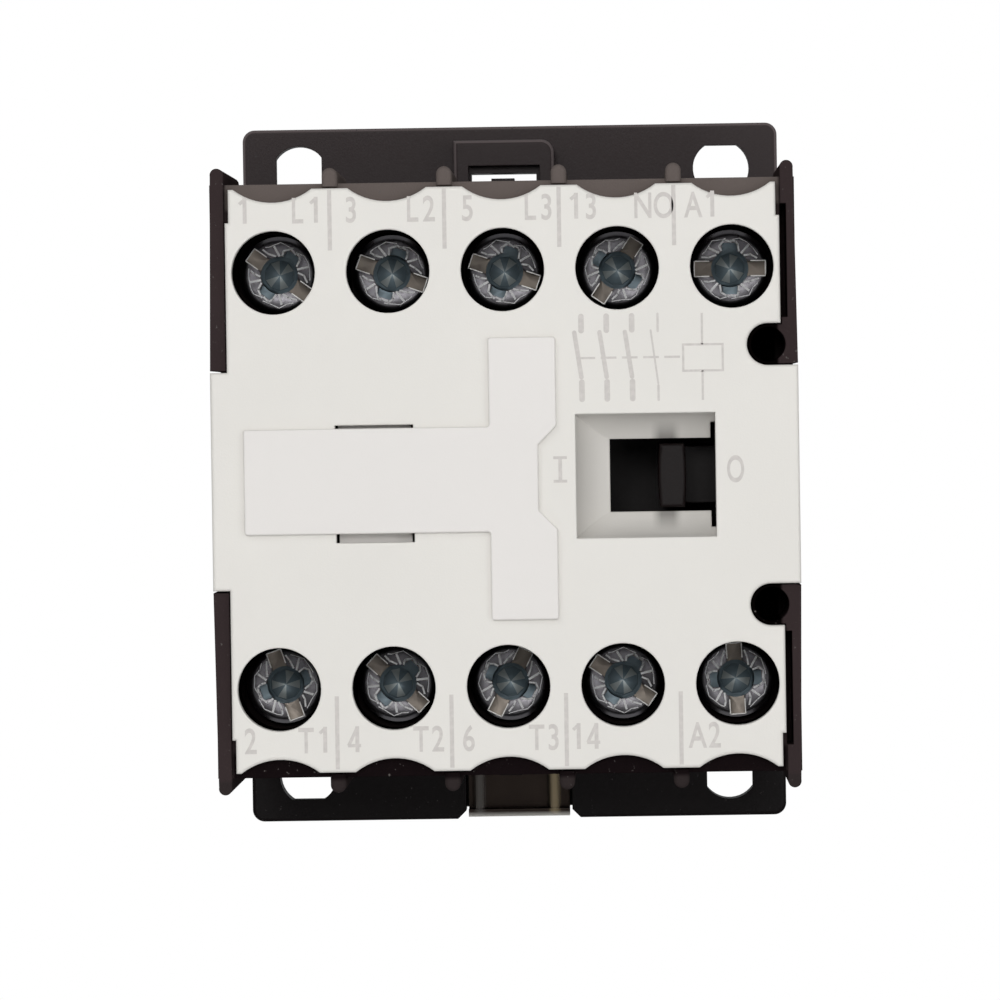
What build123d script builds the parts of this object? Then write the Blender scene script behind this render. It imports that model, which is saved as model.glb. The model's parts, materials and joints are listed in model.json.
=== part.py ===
from build123d import *
import os

# Miniature contactor, 45 mm module, for a 35 mm top-hat rail or four screws.
# Frame: X to the right, Y into the mounting surface, Z up with the line terminals on top.
# The origin is the centre of the four screw holes on the rear mounting face.
# A depth is a distance in front of that face, so a point at depth d has y = -d.
# Spans are (low, high) pairs in millimetres.

os.makedirs("parts", exist_ok=True)

# ---- overall sizes -------------------------------------------------------------------
MODULE_W = 45.0
FRONT_D = 52.0
WALL = 1.2
GAP = 0.15

# ---- foot plate, rail channel and screw holes ----------------------------------------
FOOT_W = 44.3
FOOT_H = 57.4
FOOT_T = 3.0
FOOT_CORNER = 1.0
FOOT_EDGE = 0.3
HOLE_X = 17.5
HOLE_Z = 25.0
HOLE_R = 2.32
HOLE_FLAT = 1.88
HOLE_ROUND_D = 1.5
RAIL_H = 35.2
RAIL_D = 5.0
HOOK_LIP = 2.0
HOOK_T = 3.4
HOOK_X = 14.0
HOOK_W = 12.0
FLOOR_D = 6.2
BASE_W = 44.6
BASE_H = 44.6
BASE_CORNER = 0.6
JOIN_D = 27.0

# ---- arch over the upper rail window -------------------------------------------------
ARCH_X = (-4.6, 3.7)
ARCH_TOP = 27.5
ARCH_D = 5.6
ARCH_CORNER = 1.1
ARCH_EDGE = 0.35
ARCH_RECESS = ((-3.4, 2.5), 25.4)
ARCH_WINDOW = ((-3.2, 2.2), 24.8)
TAB_X = (-1.55, 0.36)
TAB_END = 24.4

# ---- rail latch ----------------------------------------------------------------------
LATCH_HALF = 4.2
LATCH_SLOT_HALF = 4.4
LATCH_SLOT_D = 3.6
LATCH_SHEET = (0.7, 1.5)
LATCH_LOW = -28.5
LATCH_LIP = 0.6
LATCH_LIP_D = 3.4
LATCH_TOP = -15.7
LATCH_HOOK_LOW = -18.4
LATCH_FLANGES = ((-3.6, -2.9), (2.6, 3.3))
LATCH_FLANGE_TOP = -20.6
KEEPER_HALF = 3.7
KEEPER_T = 0.55
KEEPER_Z = (-27.8, -18.2)
SEAT_Z = (-25.0, -24.3)
LATCH_SPRING_Z = (-24.3, -19.7)
LATCH_SPRING_D = 2.55
LATCH_SPRING_R = 0.75
LATCH_WIRE_R = 0.14
NOTCH_DROP = 0.8

# ---- terminal columns ----------------------------------------------------------------
PITCH = 8.77
COLUMNS = [-2 * PITCH, -PITCH, 0.0, PITCH, 2 * PITCH]
POLES = COLUMNS[:4]
COIL_X = COLUMNS[4]
RIBS = [-1.5 * PITCH, -0.5 * PITCH, 0.5 * PITCH, 1.5 * PITCH]
TERMINAL_Z = 15.95
TERMINAL_NAMES = ["1_L1", "3_L2", "5_L3", "13_NO", "A1", "2_T1", "4_T2", "6_T3", "14_NO", "A2"]
ACCESS_R = 3.2

# ---- contact housing -----------------------------------------------------------------
BODY_HALF_X = 22.4
BODY_HALF_Z = 22.75
PLATE_D = 50.6
SLEEVE_D = 44.5
ENTRY_D = (36.9, 44.5)
TRACK_D = (34.9, 36.1)
CHAMBER_HALF_Z = 10.2
CELL_HALF_X = 3.78
SIDE_T = 1.2
SIDE_END_Z = 24.0
SIDE_START_Z = 8.5
SIDE_D = 51.5
RIB_T = 1.2
RIB_EDGE = 0.35
RIB_END_Z = 23.95
RIB_D = (31.0, 51.2)
SKIRT_D = 38.0
DIVIDER_T = 0.8
DIVIDER_D = 45.0
CARRIER_SLOT = (3.9, 37.0)
SOCKET_X = 20.25
SOCKET_Z = 9.95
SOCKET_R = 1.33
SOCKET_BOSS_R = 1.5
SOCKET_BOSS_X = 20.2
SOCKET_DEPTH = 12.0
SLOT_X = (21.25, 21.75)
SLOT_Z = (12.0, 20.7)
SLOT_D = 45.0

# ---- front cover and label -----------------------------------------------------------
COVER_T = FRONT_D - PLATE_D
BAND_HALF_X = 22.5
BAND_HALF_Z = 8.35
COVER_HALF_X = 21.2
COVER_TIP_HALF_X = 20.93
COVER_STEP_Z = 19.8
COVER_HALF_Z = 22.35
COVER_EDGE = 0.25
SCALLOP_R = 4.9
SCALLOP_DEPTH = 1.03
SKIRT_T = 1.5
WINDOW_X = (5.4, 16.1)
WINDOW_Z = (-4.7, 4.8)
OPENING_X = (8.0, 15.75)
OPENING_Z = (-2.75, 2.85)
WINDOW_D = 49.2
WINDOW_BOSS_D = 48.4
UNDERCUT_Z = (-4.3, 4.3)
CLIP_HOLE_X = (-13.0, -7.0)
CLIP_HOLE_Z = (-4.8, 4.2)
LABEL_T = 0.45
LABEL_STEM_X = (-20.0, -1.2)
LABEL_STEM_Z = (-4.1, 3.95)
LABEL_BAR_X = (-1.2, 3.95)
LABEL_BAR_Z = (-10.85, 10.75)
LABEL_NOTCH_X = 2.53
LABEL_NOTCH_HALF = 2.5
LABEL_NOTCH_MOUTH = 3.95
CLIP_T = 0.9
CLIP_REACH = 2.6

# ---- contacts ------------------------------------------------------------------------
TRAVEL = 2.8
OPEN_GAP = 2.0
TIP_R = 1.5
TIP_T = 0.7
TIP_Z = 7.0
TIP_D = 31.5
TONGUE_X = -3.6
TONGUE_T = 0.8
TONGUE_Z = (5.2, 9.4)
TONGUE_LOW_D = 29.3
TRACK_HALF = 3.1
TRACK_END_Z = 20.3
TRACK_START_Z = 11.6
SCREW_HOLE_R = 1.82
FIXED_FACE = TONGUE_X + TONGUE_T + TIP_T
BRIDGE_FACE = FIXED_FACE + OPEN_GAP
BRIDGE_X = (BRIDGE_FACE + TIP_T, BRIDGE_FACE + 2 * TIP_T)
BRIDGE_HALF_Z = 8.4
BRIDGE_D = (29.75, 33.25)
CARRIER_WEB_X = BRIDGE_X[0] + 3.0
CARRIER_HALF_Z = 3.4
CARRIER_D = (28.7, 35.4)
CARRIER_WINDOW_D = (29.55, 33.45)
CARRIER_X = (-18.1, 19.2)
CONTACT_SPRING_R = 1.15
CONTACT_WIRE_R = 0.16

# ---- screws and clamp saddles --------------------------------------------------------
SCREW_R = 1.75
SCREW_TIP_D = 32.8
HEAD_D = (39.3, 41.5)
HEAD_R = 3.05
HEAD_DOME = 0.5
SADDLE_D = (38.25, 39.25)
SADDLE_HALF_X = 3.2
SADDLE_HALF_Z = 3.75
SADDLE_HOLE_R = 1.95
SADDLE_LIP = 0.5
SADDLE_LIP_T = 0.5
SLOT_W = 1.05
SLOT_DEPTH = 0.9
CROSS_W = 1.1
CROSS_REACH = 1.75
CROSS_DEPTH = 1.7
SLOT_ANGLES = [-36, -20, -19, 56, 0, 109, -43, 63, -34, 93]

# ---- magnet --------------------------------------------------------------------------
STACK_D = (11.0, 20.0)
CORE_X = (-19.5, -1.0)
YOKE_T = 4.5
MAGNET_GAP = TRAVEL + 0.1
ARMATURE_X = (CORE_X[1] + MAGNET_GAP, 17.4)
CENTRE_LIMB_HALF = 4.0
OUTER_LIMB = (9.4, 13.4)
BOBBIN_X = (-14.9, 9.9)
BOBBIN_TUBE_HALF_Z = 5.0
BOBBIN_BORE_HALF_Z = 4.15
BOBBIN_TUBE_D = (10.0, 21.0)
BOBBIN_BORE_D = (10.85, 20.15)
BOBBIN_FLANGE_HALF_Z = 9.0
BOBBIN_FLANGE_D = (6.6, 24.4)
BOBBIN_FLANGE_T = 1.0
WINDING_HALF_Z = 8.5
WINDING_D = (7.1, 23.9)
RING_X = (-2.2, -1.1)
RING_BAR = 0.7
PIN_X = 15.5
PIN_R = 1.0
PIN_D = (9.1, 22.0)
ARM_X = (17.55, 19.2)
ARM_HALF_Z = 4.4
ARM_D = (9.2, 35.4)
EAR_X = 14.2
EAR_HALF_Z = 2.8
EAR_FRONT_D = (20.2, 22.0)
EAR_REAR_D = (9.2, 10.8)
WING_HALF_Z = 18.7
WING_D = (13.2, 17.8)
RETURN_Z = 17.0
RETURN_D = 15.5
RETURN_R = 1.35
RETURN_WIRE_R = 0.22
RETURN_WALL_X = (3.0, 4.2)
LEAD_R = 0.25
LEAD_START = (8.0, 7.0)
LEAD_RUN_D = 25.8
LEAD_END = (15.3, 8.9)

# ---- position indicator --------------------------------------------------------------
NUB_X = (11.7, 13.85)
NUB_HALF_Z = 2.45
NUB_D = 49.4
NUB_SWELL = 0.12
RISER_X = (11.9, 16.3)
RISER_D = 43.0
RISER_HALF_Z = 2.2


def span(width):
    """The span of a centred width."""
    return (-width / 2, width / 2)


def mirrored(z, side):
    """A Z span on the upper (side 1) or lower (side -1) half."""
    return (z[0], z[1]) if side > 0 else (-z[1], -z[0])


def block(x, d, z, mode=Mode.ADD):
    """A box between two X values, two depths and two Z values."""
    with Locations(((x[0] + x[1]) / 2, -(d[0] + d[1]) / 2, (z[0] + z[1]) / 2)):
        Box(x[1] - x[0], d[1] - d[0], z[1] - z[0], mode=mode)


def peg(x, z, radius, d, mode=Mode.ADD):
    """A round peg or hole along Y between two depths."""
    with Locations(Location((x, -d[0], z), (90, 0, 0))):
        Cylinder(radius, d[1] - d[0], align=(Align.CENTER, Align.CENTER, Align.MIN), mode=mode)


def cross_peg(z, d, radius, x, mode=Mode.ADD):
    """A round peg or hole along X between two X values."""
    with Locations(Location((x[0], -d, z), (0, 90, 0))):
        Cylinder(radius, x[1] - x[0], align=(Align.CENTER, Align.CENTER, Align.MIN), mode=mode)


def coil(radius, wire_radius, start, end, turns):
    """A round wire wound into a spring from start to end."""
    along = (Vector(*end) - Vector(*start)).normalized()
    length = (Vector(*end) - Vector(*start)).length - 2 * wire_radius
    first = Vector(*start) + along * wire_radius
    with BuildPart() as spring:
        with BuildLine():
            path = Helix(length / turns, length, radius, center=first, direction=along)
        with BuildSketch(Plane(path @ 0, z_dir=path % 0)):
            Circle(wire_radius)
        sweep(path=path, is_frenet=True)
    return spring.part


def save(part, name):
    """Label one finished piece and write its file."""
    part.label = name
    export_step(part, f"parts/{name}.step")


# ---- housings ------------------------------------------------------------------------


def mounting_holes():
    """Four holes, round at the rear and flattened in their front half to key a washer."""
    places = [(-1, 1, False), (1, 1, True), (-1, -1, True), (1, -1, False)]
    for side_x, side_z, flat_is_level in places:
        x, z = side_x * HOLE_X, side_z * HOLE_Z
        peg(x, z, HOLE_R, (-1, HOLE_ROUND_D), Mode.SUBTRACT)
        half = (HOLE_R, HOLE_FLAT) if flat_is_level else (HOLE_FLAT, HOLE_R)
        with BuildPart(mode=Mode.PRIVATE) as key:
            peg(x, z, HOLE_R, (HOLE_ROUND_D - 0.01, FOOT_T + 1))
            block(
                (x - half[0], x + half[0]),
                (0, FOOT_T + 2),
                (z - half[1], z + half[1]),
                Mode.INTERSECT,
            )
        add(key.part, mode=Mode.SUBTRACT)


def window_arch():
    """The raised arch round the upper window, before its window is cut."""
    with BuildPart(mode=Mode.PRIVATE) as arch:
        with BuildSketch(Plane.XZ.offset(FOOT_T - 0.2)):
            with Locations(((ARCH_X[0] + ARCH_X[1]) / 2, (ARCH_TOP + BASE_H / 2 - 1) / 2)):
                outline = Rectangle(ARCH_X[1] - ARCH_X[0], ARCH_TOP - BASE_H / 2 + 1)
            fillet(outline.vertices().sort_by(Axis.Z)[-2:], ARCH_CORNER)
        extrude(amount=ARCH_D - FOOT_T + 0.2)
        front = arch.faces().sort_by(Axis.Y)[0]
        fillet(front.edges().sort_by(Axis.Z)[1:], ARCH_EDGE)
    return arch.part


def base_housing():
    """Rear shell: foot plate with ears, rail channel, upper rail hooks and magnet room."""
    with BuildPart() as base:
        with BuildSketch(Plane.XZ):
            RectangleRounded(FOOT_W, FOOT_H, FOOT_CORNER)
        extrude(amount=FOOT_T)
        fillet(base.faces().sort_by(Axis.Y)[0].edges(), FOOT_EDGE)
        with BuildSketch(Plane.XZ):
            RectangleRounded(BASE_W, BASE_H, BASE_CORNER)
        extrude(amount=JOIN_D)
        block(span(BASE_W - 2 * WALL), (FLOOR_D, JOIN_D + 1), span(BASE_H - 2 * WALL), Mode.SUBTRACT)
        # rail channel with two fixed hooks above it
        block(span(MODULE_W + 2), (-1, RAIL_D), span(RAIL_H), Mode.SUBTRACT)
        for x in (-HOOK_X, HOOK_X):
            block((x - HOOK_W / 2, x + HOOK_W / 2), (0, HOOK_T), (RAIL_H / 2 - HOOK_LIP, RAIL_H / 2))
        mounting_holes()
        # arch round the upper window, with the window's small tab
        add(window_arch())
        recess_x, recess_top = ARCH_RECESS
        window_x, window_top = ARCH_WINDOW
        block(recess_x, (FOOT_T + 1, ARCH_D + 1), (BASE_H / 2, recess_top), Mode.SUBTRACT)
        block(window_x, (-1, ARCH_D + 1), (BASE_H / 2, window_top), Mode.SUBTRACT)
        block(TAB_X, (0, FOOT_T), (BASE_H / 2 - 0.5, TAB_END))
        # slot of the rail latch, keepers behind it, seat of its spring, notches beside it
        block(span(2 * LATCH_SLOT_HALF), (-1, LATCH_SLOT_D), (-FOOT_H, -RAIL_H / 2 + 0.1), Mode.SUBTRACT)
        for side in (1, -1):
            keeper = (KEEPER_HALF, LATCH_SLOT_HALF + 0.2)
            block(keeper if side > 0 else (-keeper[1], -keeper[0]), (0, KEEPER_T), KEEPER_Z)
            with BuildPart(mode=Mode.PRIVATE) as notch:
                with BuildSketch(Plane.XZ.offset(-1)):
                    with BuildLine():
                        Polyline(
                            (side * (LATCH_SLOT_HALF - 0.1), -FOOT_H / 2 + NOTCH_DROP),
                            (side * (LATCH_SLOT_HALF + NOTCH_DROP), -FOOT_H / 2 - 0.1),
                            (side * (LATCH_SLOT_HALF - 0.1), -FOOT_H / 2 - 0.1),
                            close=True,
                        )
                    make_face()
                extrude(amount=FOOT_T + 2)
            add(notch.part, mode=Mode.SUBTRACT)
        block(TAB_X, (LATCH_SLOT_D - 0.1, ARCH_D), (SEAT_Z[0], -BASE_H / 2 + 0.5))
        block(TAB_X, (LATCH_SHEET[1] + 0.2, LATCH_SLOT_D), SEAT_Z)
        # cradle of the magnet core and the walls that the return springs push on
        for side in (1, -1):
            block(
                (CORE_X[0], CORE_X[0] + YOKE_T),
                (FLOOR_D - 0.1, STACK_D[0]),
                mirrored((OUTER_LIMB[0] + 0.8, OUTER_LIMB[1]), side),
            )
            block(RETURN_WALL_X, (FLOOR_D - 0.1, WING_D[1]), mirrored((15.2, BASE_H / 2 - 0.5), side))
    return base.part


def side_wall(side_x, side_z):
    """One black side wall beside the terminals, with its full-round end."""
    outer = side_x * MODULE_W / 2
    inner = side_x * (MODULE_W / 2 - SIDE_T)
    start = side_z * SIDE_START_Z
    end = side_z * (SIDE_END_Z - SIDE_T / 2)
    with BuildPart(mode=Mode.PRIVATE) as wall:
        with BuildSketch(Plane.XZ.offset(JOIN_D)):
            with BuildLine():
                Line((inner, start), (outer, start))
                Line((outer, start), (outer - side_x * 0.2, end))
                ThreePointArc(
                    (outer - side_x * 0.2, end),
                    (outer - side_x * (0.1 + SIDE_T / 2), side_z * SIDE_END_Z),
                    (inner, end),
                )
                Line((inner, end), (inner, start))
            make_face()
        extrude(amount=SIDE_D - JOIN_D)
    return wall.part


def socket_boss(side_z):
    """The D-shaped boss of one accessory socket, joined to the right wall."""
    with BuildPart(mode=Mode.PRIVATE) as boss:
        peg(SOCKET_BOSS_X, side_z * SOCKET_Z, SOCKET_BOSS_R, (JOIN_D, SIDE_D))
        block(
            (SOCKET_BOSS_X, MODULE_W / 2 - 0.3),
            (JOIN_D, SIDE_D),
            (side_z * SOCKET_Z - SOCKET_BOSS_R, side_z * SOCKET_Z + SOCKET_BOSS_R),
        )
    return boss.part


def rib_nose(x, side_z):
    """The round-ended part of a partition rib that stands out past the housing."""
    with BuildPart(mode=Mode.PRIVATE) as nose:
        low, high = COVER_HALF_Z + GAP, RIB_END_Z - RIB_T / 2
        block((x - RIB_T / 2, x + RIB_T / 2), RIB_D, mirrored((low, high), side_z))
        peg(x, side_z * high, RIB_T / 2, RIB_D)
        front = nose.faces().sort_by(Axis.Y)[0]
        fillet(front.edges().sort_by(Axis.Z, reverse=side_z < 0)[1:], RIB_EDGE)
    return nose.part


def terminal_cell(x, side_z):
    """The room of one terminal: wire entry, screwdriver sleeve, track slot, rear pocket."""
    cell_x = (x - CELL_HALF_X, x + CELL_HALF_X)
    block(cell_x, ENTRY_D, mirrored((CHAMBER_HALF_Z + 1.0, BODY_HALF_Z + 2), side_z), Mode.SUBTRACT)
    room_z = mirrored((CHAMBER_HALF_Z + 1.0, TRACK_END_Z + 0.3), side_z)
    block(cell_x, (TRACK_D[0], ENTRY_D[1]), room_z, Mode.SUBTRACT)
    block(cell_x, TRACK_D, mirrored((CHAMBER_HALF_Z - 1.0, CHAMBER_HALF_Z + 1.5), side_z), Mode.SUBTRACT)
    peg(x, side_z * TERMINAL_Z, ACCESS_R + 0.1, (SLEEVE_D - 0.5, FRONT_D), Mode.SUBTRACT)
    peg(x, side_z * TERMINAL_Z, SCREW_R + 0.4, (JOIN_D + 1, ENTRY_D[0]), Mode.SUBTRACT)
    block((x - 3.2, x + 3.2), (JOIN_D - 1, JOIN_D + 5.5), mirrored((12.4, 21.2), side_z), Mode.SUBTRACT)


def contact_housing():
    """Front shell: contact chamber, ten terminal rooms, ribs, side walls and sockets."""
    with BuildPart() as housing:
        block(span(2 * BODY_HALF_X), (JOIN_D, PLATE_D), span(2 * BODY_HALF_Z))
        # the chamber of the contacts, open to the front
        chamber_x = span(2 * BODY_HALF_X - 2 * WALL)
        block(chamber_x, (JOIN_D + WALL, FRONT_D), span(2 * CHAMBER_HALF_Z), Mode.SUBTRACT)
        # the cover's skirts take the place of the side walls in the middle band
        for side in (1, -1):
            skirt_x = mirrored((BODY_HALF_X - WALL - 0.5, BODY_HALF_X + 1), side)
            block(skirt_x, (SKIRT_D, FRONT_D), span(2 * BAND_HALF_Z + 0.3), Mode.SUBTRACT)
        # walls between the poles, with a slot that the carrier slides through
        for x in RIBS:
            divider_x = (x - DIVIDER_T / 2, x + DIVIDER_T / 2)
            block(divider_x, (JOIN_D + WALL - 0.1, DIVIDER_D), span(2 * CHAMBER_HALF_Z + 0.2))
        slot_half, slot_d = CARRIER_SLOT
        slot_z = span(2 * slot_half)
        block((RIBS[0] - 1, RIBS[3] + 1), (JOIN_D + WALL, slot_d), slot_z, Mode.SUBTRACT)
        block((RIBS[3] - 1, RIBS[3] + 1), (JOIN_D + WALL, DIVIDER_D + 1), slot_z, Mode.SUBTRACT)
        # slot in the floor for the carrier's arm, holes for the coil leads
        arm_slot_x = (ARM_X[0] - TRAVEL - 0.6, ARM_X[1] + 0.6)
        block(arm_slot_x, (JOIN_D - 1, JOIN_D + 2), span(2 * ARM_HALF_Z + 1), Mode.SUBTRACT)
        for side in (1, -1):
            peg(LEAD_END[0], side * LEAD_END[1], 0.6, (JOIN_D - 1, JOIN_D + 2), Mode.SUBTRACT)
            for x in COLUMNS:
                terminal_cell(x, side)
            for x in RIBS:
                add(rib_nose(x, side))
            add(side_wall(1, side))
            add(side_wall(-1, side))
            add(socket_boss(side))
            peg(SOCKET_X, side * SOCKET_Z, SOCKET_R, (SIDE_D - SOCKET_DEPTH, SIDE_D + 1), Mode.SUBTRACT)
            block(SLOT_X, (SLOT_D, SIDE_D + 1), mirrored(SLOT_Z, side), Mode.SUBTRACT)
    return housing.part


def cover_outline():
    """Half of the cover's face from the middle band upwards, as a closed set of points."""
    return [
        (-BAND_HALF_X, 0),
        (-BAND_HALF_X, BAND_HALF_Z),
        (-COVER_HALF_X, BAND_HALF_Z),
        (-COVER_HALF_X, COVER_STEP_Z),
        (-COVER_TIP_HALF_X, COVER_STEP_Z),
        (-COVER_TIP_HALF_X, COVER_HALF_Z),
        (COVER_TIP_HALF_X, COVER_HALF_Z),
        (COVER_TIP_HALF_X, COVER_STEP_Z),
        (COVER_HALF_X, COVER_STEP_Z),
        (COVER_HALF_X, BAND_HALF_Z),
        (BAND_HALF_X, BAND_HALF_Z),
        (BAND_HALF_X, 0),
    ]


def window_pocket():
    """The sunk window: curved slopes from the face down to the opening on three sides."""
    face = FRONT_D + 0.001
    edge_drop = 0.35
    with BuildPart(mode=Mode.PRIVATE) as along:
        with BuildSketch(Plane.YZ.offset(WINDOW_X[0])):
            with BuildLine():
                Line((-face, WINDOW_Z[0]), (-face, WINDOW_Z[1]))
                Line((-face, WINDOW_Z[1]), (-FRONT_D + edge_drop, WINDOW_Z[1]))
                ThreePointArc(
                    (-FRONT_D + edge_drop, WINDOW_Z[1]),
                    (-WINDOW_D - 1.15, WINDOW_Z[1] - 0.55),
                    (-WINDOW_D, OPENING_Z[1]),
                )
                Line((-WINDOW_D, OPENING_Z[1]), (-WINDOW_D, OPENING_Z[0]))
                ThreePointArc(
                    (-WINDOW_D, OPENING_Z[0]),
                    (-WINDOW_D - 1.15, WINDOW_Z[0] + 0.55),
                    (-FRONT_D + edge_drop, WINDOW_Z[0]),
                )
                Line((-FRONT_D + edge_drop, WINDOW_Z[0]), (-face, WINDOW_Z[0]))
            make_face()
        extrude(amount=WINDOW_X[1] - WINDOW_X[0])
    with BuildPart(mode=Mode.PRIVATE) as across:
        with BuildSketch(Plane.XY.offset(WINDOW_Z[0])):
            with BuildLine():
                Line((WINDOW_X[0], -face), (WINDOW_X[1], -face))
                Line((WINDOW_X[1], -face), (WINDOW_X[1], -WINDOW_D))
                Line((WINDOW_X[1], -WINDOW_D), (OPENING_X[0], -WINDOW_D))
                ThreePointArc(
                    (OPENING_X[0], -WINDOW_D),
                    (WINDOW_X[0] + 0.75, -WINDOW_D - 1.0),
                    (WINDOW_X[0], -FRONT_D + edge_drop),
                )
                Line((WINDOW_X[0], -FRONT_D + edge_drop), (WINDOW_X[0], -face))
            make_face()
        extrude(amount=WINDOW_Z[1] - WINDOW_Z[0])
    return along.part & across.part


def front_cover():
    """Grey cover: face with scallops, screw holes, sunk window, and two side skirts."""
    upper = cover_outline()
    lower = [(x, -z) for x, z in reversed(upper)]
    with BuildPart() as cover:
        with BuildSketch(Plane.XZ.offset(PLATE_D)):
            with BuildLine():
                Polyline(*upper, *lower[1:-1], close=True)
            make_face()
            for side in (1, -1):
                centre = side * (COVER_HALF_Z - SCALLOP_DEPTH + SCALLOP_R)
                with Locations(*[(x, centre) for x in COLUMNS]):
                    Circle(SCALLOP_R, mode=Mode.SUBTRACT)
                with Locations(*[(x, side * TERMINAL_Z) for x in COLUMNS]):
                    Circle(ACCESS_R, mode=Mode.SUBTRACT)
                with Locations((SOCKET_BOSS_X, side * SOCKET_Z)):
                    Circle(SOCKET_BOSS_R + 0.1, mode=Mode.SUBTRACT)
                with Locations((SOCKET_BOSS_X + 2, side * SOCKET_Z)):
                    Rectangle(4, 2 * SOCKET_BOSS_R + 0.2, mode=Mode.SUBTRACT)
        extrude(amount=COVER_T)
        outer_edges = cover.faces().sort_by(Axis.Y)[0].outer_wire().edges()
        fillet(outer_edges, COVER_EDGE)
        # thickening behind the window, then the window itself
        boss_x = (WINDOW_X[0] - 1, WINDOW_X[1] + 1)
        block(boss_x, (WINDOW_BOSS_D, PLATE_D + 0.1), (WINDOW_Z[0] - 1, WINDOW_Z[1] + 1))
        add(window_pocket(), mode=Mode.SUBTRACT)
        block(OPENING_X, (WINDOW_BOSS_D - 1, FRONT_D), OPENING_Z, Mode.SUBTRACT)
        undercut_x = (OPENING_X[1] - 0.01, WINDOW_X[1])
        block(undercut_x, (WINDOW_BOSS_D - 1, WINDOW_D + 0.9), UNDERCUT_Z, Mode.SUBTRACT)
        block(CLIP_HOLE_X, (PLATE_D - 1, FRONT_D + 1), CLIP_HOLE_Z, Mode.SUBTRACT)
        for side in (1, -1):
            skirt_x = mirrored((BAND_HALF_X - SKIRT_T, BAND_HALF_X), side)
            block(skirt_x, (SKIRT_D + GAP, PLATE_D + 0.1), span(2 * BAND_HALF_Z))
    return cover.part


def label_plate():
    """T-shaped writing plate that clips into the cover's opening."""
    with BuildPart() as label:
        with BuildSketch(Plane.XZ.offset(FRONT_D)):
            with BuildLine():
                Polyline(
                    (LABEL_STEM_X[0], LABEL_STEM_Z[0]),
                    (LABEL_BAR_X[0], LABEL_STEM_Z[0]),
                    (LABEL_BAR_X[0], LABEL_BAR_Z[0]),
                    (LABEL_BAR_X[1], LABEL_BAR_Z[0]),
                    (LABEL_BAR_X[1], -LABEL_NOTCH_MOUTH),
                    (LABEL_NOTCH_X, -LABEL_NOTCH_HALF),
                    (LABEL_NOTCH_X, LABEL_NOTCH_HALF),
                    (LABEL_BAR_X[1], LABEL_NOTCH_MOUTH),
                    (LABEL_BAR_X[1], LABEL_BAR_Z[1]),
                    (LABEL_BAR_X[0], LABEL_BAR_Z[1]),
                    (LABEL_BAR_X[0], LABEL_STEM_Z[1]),
                    (LABEL_STEM_X[0], LABEL_STEM_Z[1]),
                    close=True,
                )
            make_face()
        extrude(amount=LABEL_T)
        fillet(label.edges().filter_by(Axis.Y), 0.2)
        fillet(label.faces().sort_by(Axis.Y)[0].outer_wire().edges(), 0.12)
        clip_x = (CLIP_HOLE_X[0] + 0.2, CLIP_HOLE_X[1] - 0.2)
        for side in (1, -1):
            hole_edge = CLIP_HOLE_Z[1] if side > 0 else -CLIP_HOLE_Z[0]
            leg = (hole_edge - 0.2 - CLIP_T, hole_edge - 0.2)
            leg = (leg[0], min(leg[1], LABEL_STEM_Z[1] - 0.1))
            block(clip_x, (PLATE_D - CLIP_REACH, FRONT_D + 0.1), mirrored(leg, side))
            barb = (leg[1] - 0.1, hole_edge + 0.3)
            block(clip_x, (PLATE_D - CLIP_REACH, PLATE_D - GAP), mirrored(barb, side))
    return label.part


# ---- rail latch ----------------------------------------------------------------------


def rail_latch():
    """Bent sheet latch that snaps behind the rail's lower edge."""
    with BuildPart() as latch:
        block(span(2 * LATCH_HALF), LATCH_SHEET, (LATCH_LOW, LATCH_TOP))
        block(span(2 * LATCH_HALF), (LATCH_SHEET[0], LATCH_LIP_D), (LATCH_LOW, LATCH_LOW + LATCH_LIP))
        block(span(2 * LATCH_HALF), (LATCH_SHEET[0], HOOK_T), (LATCH_HOOK_LOW, LATCH_TOP))
        nose = latch.edges().filter_by(Axis.X).sort_by(Axis.Z)[-2:].sort_by(Axis.Y)[-1]
        chamfer(nose, 1.4)
        for flange in LATCH_FLANGES:
            block(flange, (LATCH_SHEET[1] - 0.1, FOOT_T), (LATCH_LOW + 0.1, LATCH_FLANGE_TOP))
        shelf_z = (LATCH_SPRING_Z[1], LATCH_SPRING_Z[1] + 0.7)
        block(span(3.2), (LATCH_SHEET[1] - 0.1, HOOK_T), shelf_z)
    return latch.part


def rail_latch_spring():
    """Small compression spring between the housing's seat and the latch's shelf."""
    x = (TAB_X[0] + TAB_X[1]) / 2
    low, high = LATCH_SPRING_Z
    start = (x, -LATCH_SPRING_D, low + 0.02)
    end = (x, -LATCH_SPRING_D, high - 0.02)
    return coil(LATCH_SPRING_R, LATCH_WIRE_R, start, end, 5)


# ---- contacts and carrier ------------------------------------------------------------


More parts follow.
